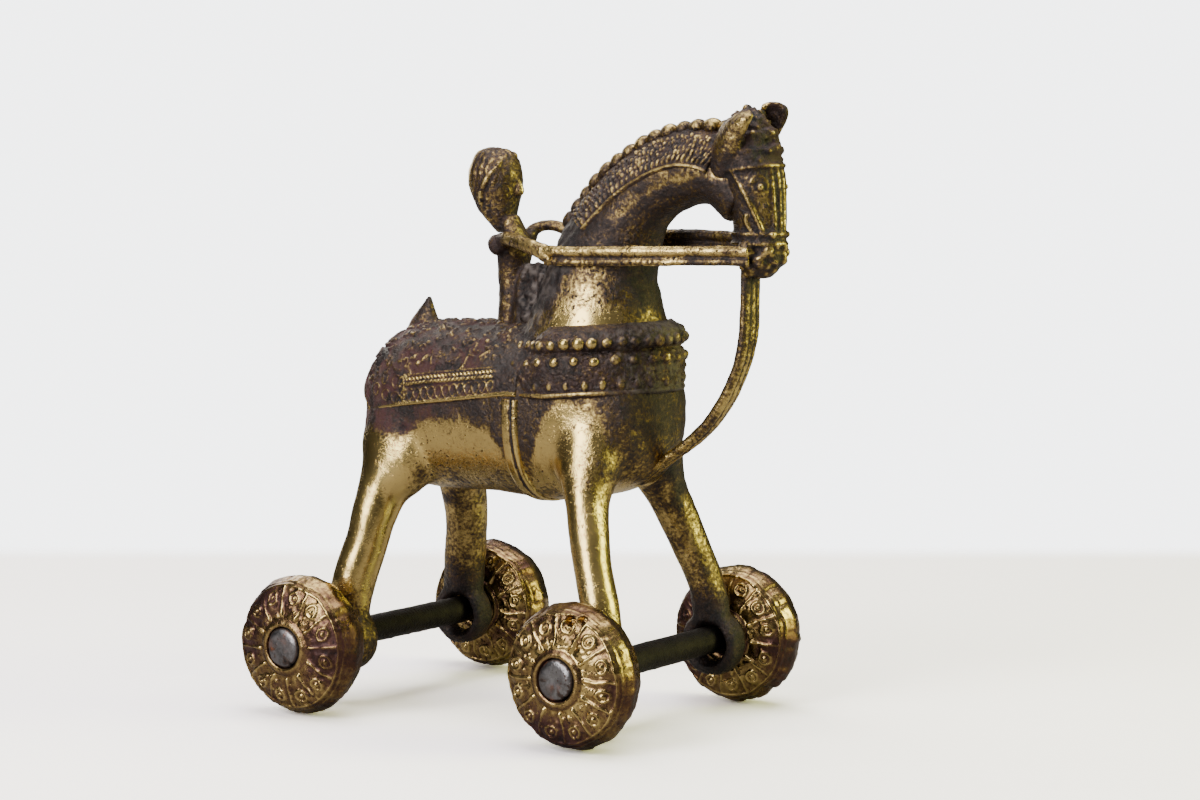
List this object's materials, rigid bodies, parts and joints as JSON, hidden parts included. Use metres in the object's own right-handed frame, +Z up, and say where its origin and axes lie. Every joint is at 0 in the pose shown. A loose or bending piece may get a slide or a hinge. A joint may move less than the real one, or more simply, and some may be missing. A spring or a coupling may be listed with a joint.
{
  "type": "brass horse figure on wheels",
  "caption": "Cast brass toy horse with a rider, reins and a lead strap, standing on disc wheels that turn with iron axles.",
  "frame": {"origin": "middle of the whole part's underside, on the floor under the wheels", "axes": "+X is the way the horse faces, +Y its left side, +Z up"},
  "size_m": [0.171, 0.1222, 0.1945],
  "materials": {
    "cast_brass": "rubbed bright on the high places, dark brown patina in the hollows",
    "wheel_brass": "worn cast brass with brown patina",
    "forged_iron": "dark forged iron, rubbed grey at the hammered ends"
  },
  "bodies": {
    "horse": {"horse": "cast_brass"},
    "front_wheels": {"front_axle": "forged_iron", "front_left_wheel": "wheel_brass", "front_right_wheel": "wheel_brass"},
    "rear_wheels": {"rear_axle": "forged_iron", "rear_left_wheel": "wheel_brass", "rear_right_wheel": "wheel_brass"}
  },
  "joints": [
    {"name": "front_roll", "type": "hinge", "parent": "horse", "child": "front_wheels", "pos_m": [0.04129, 0, 0.023], "axis": [0, 1, 0], "continuous": true},
    {"name": "rear_roll", "type": "hinge", "parent": "horse", "child": "rear_wheels", "pos_m": [-0.06251, 0, 0.023], "axis": [0, 1, 0], "continuous": true}
  ]
}
